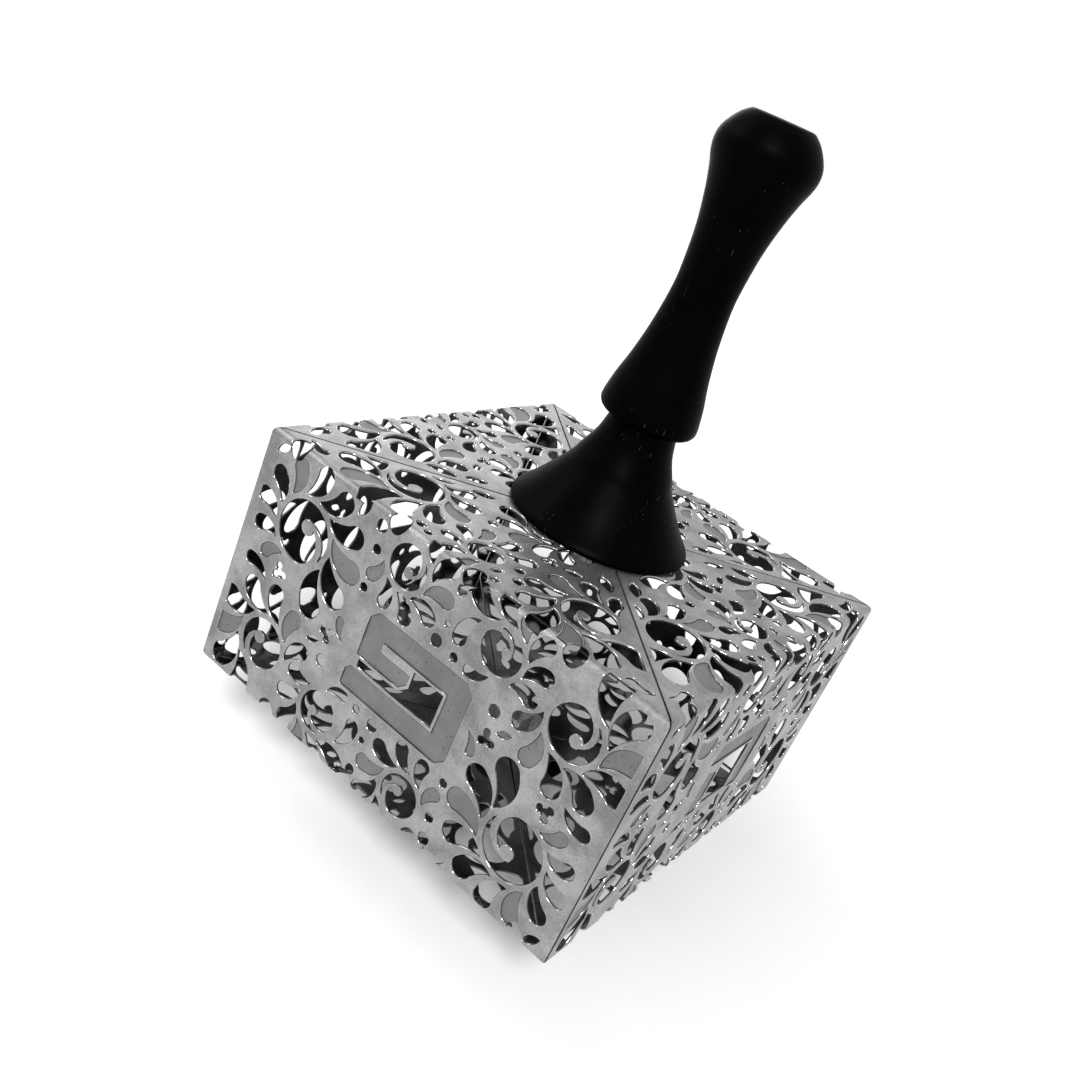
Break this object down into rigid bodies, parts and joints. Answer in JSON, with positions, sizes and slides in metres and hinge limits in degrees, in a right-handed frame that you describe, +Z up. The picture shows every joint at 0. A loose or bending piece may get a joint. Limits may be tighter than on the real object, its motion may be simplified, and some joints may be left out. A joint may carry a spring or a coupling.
{
  "type": "dreidel",
  "caption": "Hollow square spinning top of folded, pierced steel sheets with a turned black handle above and a turned point below.",
  "frame": {"origin": "lowest spot of the point, on the spin axis", "axes": "+Z up the spin axis to the handle; X and Y square to the four sides; the front side faces -Y"},
  "size_m": [0.075, 0.075, 0.1306],
  "materials": {
    "pierced_sheet": "matte brushed face with bright etched edges",
    "black_turning": "black stained, satin",
    "hardware": "plain bright"
  },
  "bodies": {
    "root": {"front_panel": "pierced_sheet", "right_panel": "pierced_sheet", "back_panel": "pierced_sheet", "left_panel": "pierced_sheet", "grip": "black_turning", "collar": "black_turning", "point": "black_turning", "handle_stud": "hardware", "handle_washer": "hardware", "handle_nut": "hardware", "point_stud": "hardware", "point_washer": "hardware", "point_nut": "hardware"}
  },
  "joints": []
}
